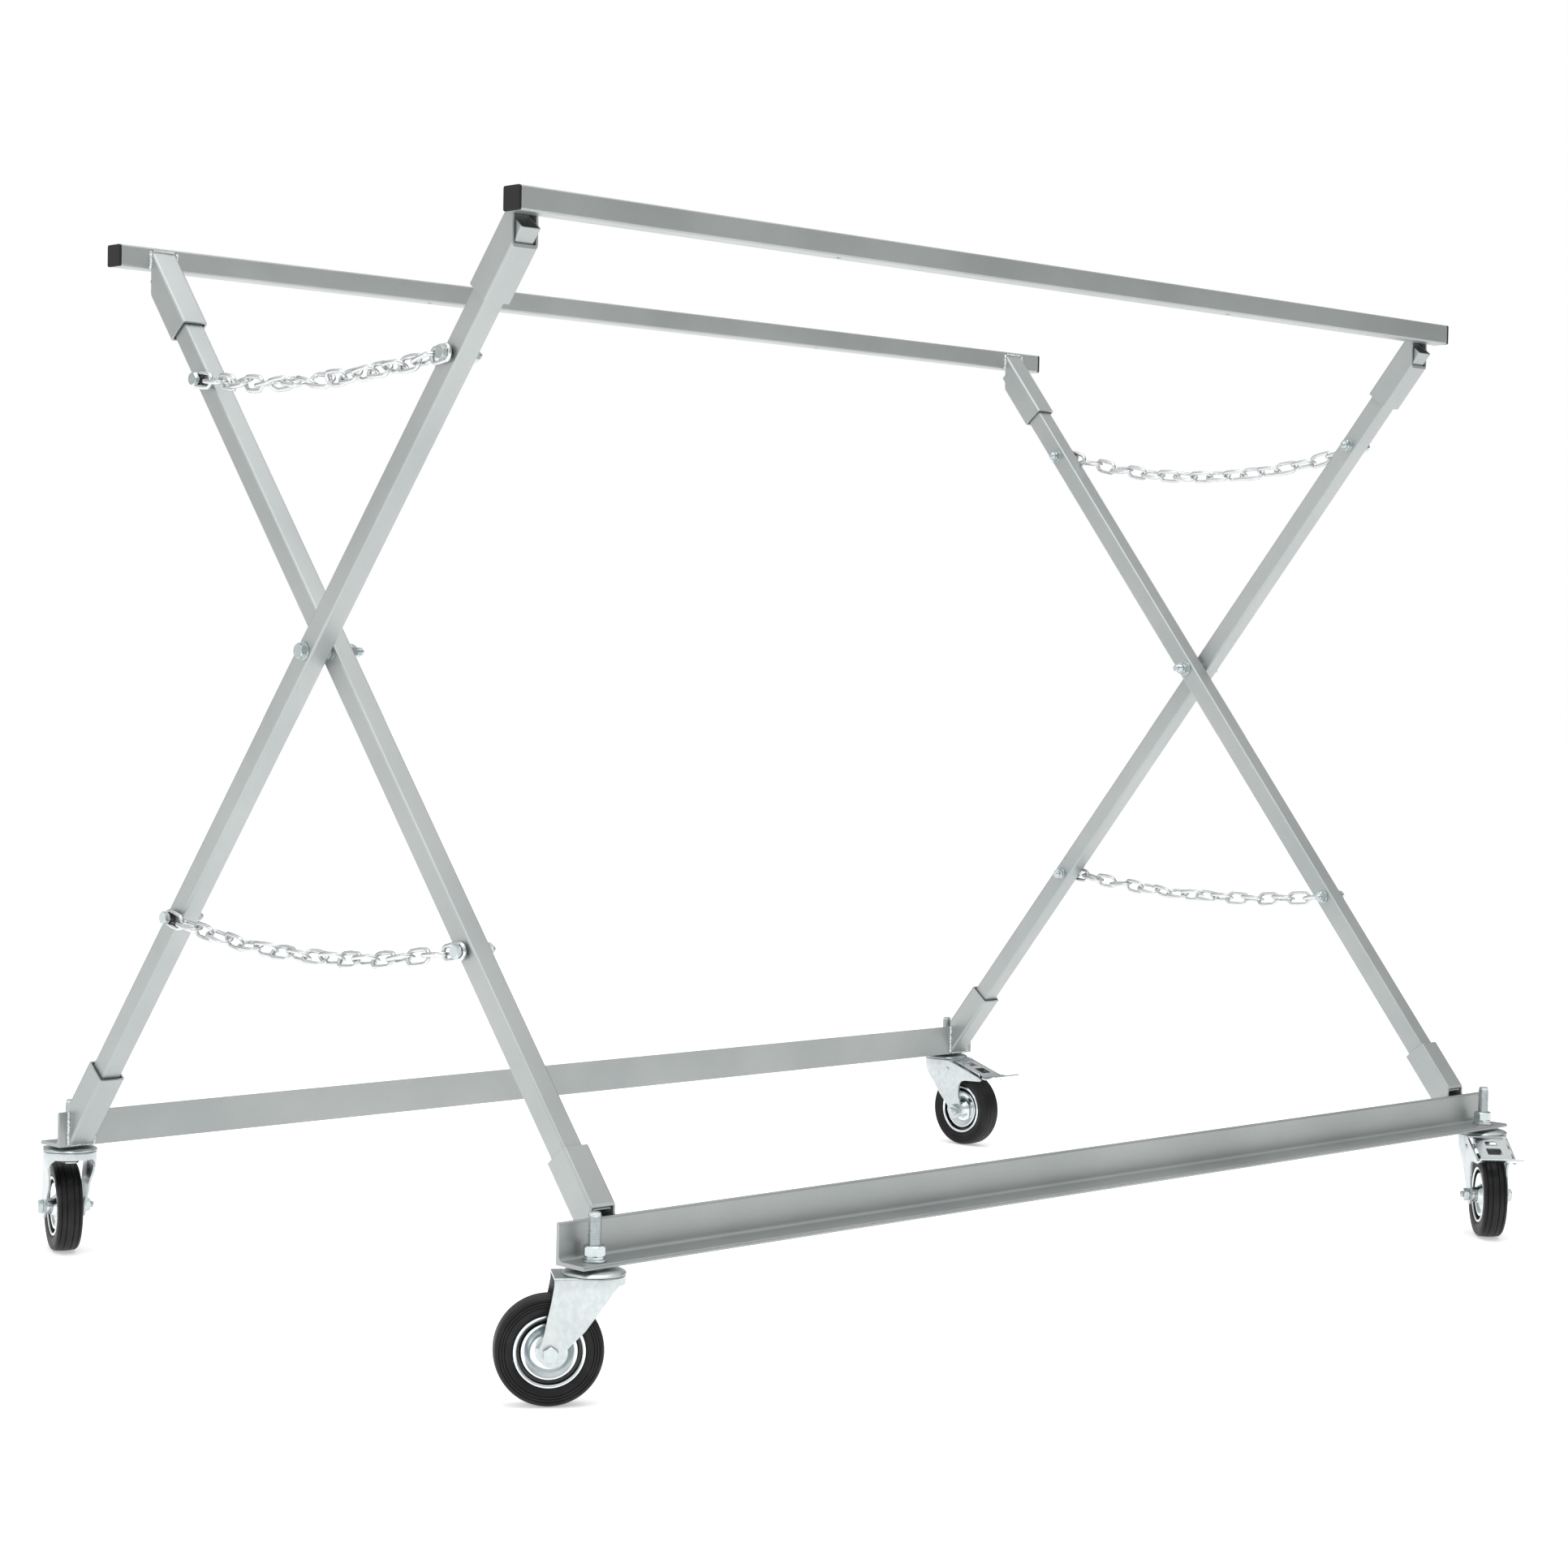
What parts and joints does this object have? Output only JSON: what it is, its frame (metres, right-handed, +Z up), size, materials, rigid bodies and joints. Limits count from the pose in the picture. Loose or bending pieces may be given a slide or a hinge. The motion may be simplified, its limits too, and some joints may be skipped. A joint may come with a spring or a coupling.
{
  "type": "rolling clothes rack",
  "caption": "Folding rolling rack: two crossed steel frames with square top rails, angle-iron feet, limit chains and swivel casters, two of them braked.",
  "frame": {"origin": "on the floor, under the middle of the whole rack with its casters as they stand at rest", "axes": "+X along the rails to the right end, +Z up, the front of the rack faces -Y"},
  "size_m": [1.9717, 1.3953, 1.426],
  "materials": {
    "paint": "silver-grey satin metallic paint with light orange peel",
    "zinc": "bright zinc plate, slightly bluish and mottled",
    "chain": "bright zinc plated welded chain",
    "tyre": "matte black rubber",
    "cap": "matte black plastic"
  },
  "bodies": {
    "outer_frame": {"back_bottom_angle": "paint", "back_bottom_socket_left": "paint", "back_bottom_socket_right": "paint", "caster_back_left_stem": "zinc", "caster_back_left_stem_nut": "zinc", "caster_back_right_stem": "zinc", "caster_back_right_stem_nut": "zinc", "chain_bolt_outer_left_lower": "zinc", "chain_bolt_outer_left_upper": "zinc", "chain_bolt_outer_right_lower": "zinc", "chain_bolt_outer_right_upper": "zinc", "chain_left_lower": "chain", "chain_left_upper": "chain", "chain_right_lower": "chain", "chain_right_upper": "chain", "front_top_rail": "paint", "front_top_rail_cap_left": "cap", "front_top_rail_cap_right": "cap", "front_top_socket_left": "paint", "front_top_socket_right": "paint", "outer_leg_left": "paint", "outer_leg_right": "paint", "pivot_bolt_left": "zinc", "pivot_bolt_right": "zinc"},
    "inner_frame": {"back_top_rail": "paint", "back_top_rail_cap_left": "cap", "back_top_rail_cap_right": "cap", "back_top_socket_left": "paint", "back_top_socket_right": "paint", "caster_front_left_stem": "zinc", "caster_front_left_stem_nut": "zinc", "caster_front_right_stem": "zinc", "caster_front_right_stem_nut": "zinc", "chain_bolt_inner_left_lower": "zinc", "chain_bolt_inner_left_upper": "zinc", "chain_bolt_inner_right_lower": "zinc", "chain_bolt_inner_right_upper": "zinc", "front_bottom_angle": "paint", "front_bottom_socket_left": "paint", "front_bottom_socket_right": "paint", "inner_leg_left": "paint", "inner_leg_right": "paint"},
    "caster_front_left_swivel": {"caster_front_left_fork": "zinc", "caster_front_left_axle": "zinc"},
    "caster_front_left_wheel": {"caster_front_left_hub": "zinc", "caster_front_left_tyre": "tyre"},
    "caster_front_right_swivel": {"caster_front_right_fork": "zinc", "caster_front_right_axle": "zinc"},
    "caster_front_right_wheel": {"caster_front_right_hub": "zinc", "caster_front_right_tyre": "tyre"},
    "caster_back_left_swivel": {"caster_back_left_fork": "zinc", "caster_back_left_axle": "zinc"},
    "caster_back_left_wheel": {"caster_back_left_hub": "zinc", "caster_back_left_tyre": "tyre"},
    "caster_back_right_swivel": {"caster_back_right_fork": "zinc", "caster_back_right_axle": "zinc"},
    "caster_back_right_wheel": {"caster_back_right_hub": "zinc", "caster_back_right_tyre": "tyre"},
    "caster_front_right_pedal": {"caster_front_right_brake_pedal": "zinc"},
    "caster_back_right_pedal": {"caster_back_right_brake_pedal": "zinc"}
  },
  "joints": [
    {"name": "frame_fold", "type": "hinge", "parent": "outer_frame", "child": "inner_frame", "pos_m": [0.032, 0, 0.873], "axis": [1, 0, 0], "range_deg": [0, 57], "deforming": ["chain_left_lower", "chain_left_upper", "chain_right_lower", "chain_right_upper"]},
    {"name": "caster_front_left_turn", "type": "hinge", "parent": "inner_frame", "child": "caster_front_left_swivel", "pos_m": [-0.883, -0.576, 0.163], "axis": [0, 0, 1], "continuous": true},
    {"name": "caster_front_left_roll", "type": "hinge", "parent": "caster_front_left_swivel", "child": "caster_front_left_wheel", "pos_m": [-0.9256, -0.54617, 0.065], "axis": [-0.5736, -0.8192, 0], "continuous": true},
    {"name": "caster_front_right_turn", "type": "hinge", "parent": "inner_frame", "child": "caster_front_right_swivel", "pos_m": [0.947, -0.576, 0.163], "axis": [0, 0, 1], "continuous": true},
    {"name": "caster_front_right_roll", "type": "hinge", "parent": "caster_front_right_swivel", "child": "caster_front_right_wheel", "pos_m": [0.91055, -0.61309, 0.065], "axis": [0.7133, -0.7009, 0], "continuous": true},
    {"name": "caster_front_right_brake", "type": "hinge", "parent": "caster_front_right_swivel", "child": "caster_front_right_pedal", "pos_m": [0.91861, -0.60489, 0.1385], "axis": [0.7133, -0.7009, 0], "range_deg": [0, 6]},
    {"name": "caster_back_left_turn", "type": "hinge", "parent": "outer_frame", "child": "caster_back_left_swivel", "pos_m": [-0.883, 0.576, 0.163], "axis": [0, 0, 1], "continuous": true},
    {"name": "caster_back_left_roll", "type": "hinge", "parent": "caster_back_left_swivel", "child": "caster_back_left_wheel", "pos_m": [-0.86437, 0.62455, 0.065], "axis": [-0.9336, 0.3584, 0], "continuous": true},
    {"name": "caster_back_right_turn", "type": "hinge", "parent": "outer_frame", "child": "caster_back_right_swivel", "pos_m": [0.947, 0.576, 0.163], "axis": [0, 0, 1], "continuous": true},
    {"name": "caster_back_right_roll", "type": "hinge", "parent": "caster_back_right_swivel", "child": "caster_back_right_wheel", "pos_m": [0.947, 0.524, 0.065], "axis": [1, 0, 0], "continuous": true},
    {"name": "caster_back_right_brake", "type": "hinge", "parent": "caster_back_right_swivel", "child": "caster_back_right_pedal", "pos_m": [0.947, 0.5355, 0.1385], "axis": [1, 0, 0], "range_deg": [0, 6]}
  ]
}
